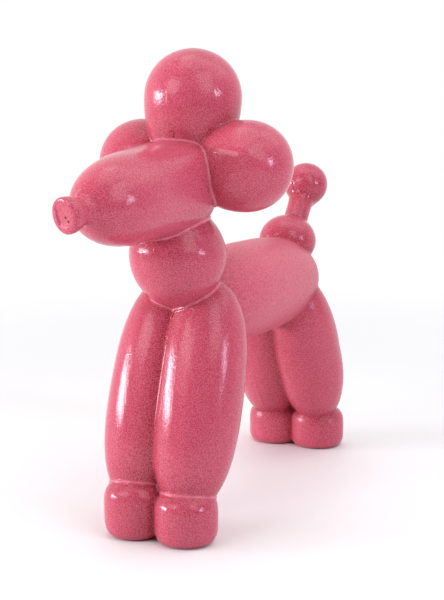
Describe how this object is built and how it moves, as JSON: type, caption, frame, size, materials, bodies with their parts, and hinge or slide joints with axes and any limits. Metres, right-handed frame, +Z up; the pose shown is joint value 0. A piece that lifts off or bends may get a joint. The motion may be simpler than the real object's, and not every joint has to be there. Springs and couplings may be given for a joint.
{
  "type": "balloon poodle sculpture",
  "caption": "Glossy pink ornament shaped like a poodle twisted from a long balloon, with ball topknot, ears and tail, standing on flat feet.",
  "frame": {"origin": "on the ground, under the middle of the bounding box", "axes": "+Z up, the dog looks along -Y, its left side is +X"},
  "size_m": [0.1233, 0.3276, 0.2792],
  "materials": {
    "pink_enamel": "gloss pink enamel with fine orange peel over cast resin"
  },
  "bodies": {
    "root": {"balloon_poodle": "pink_enamel"}
  },
  "joints": []
}
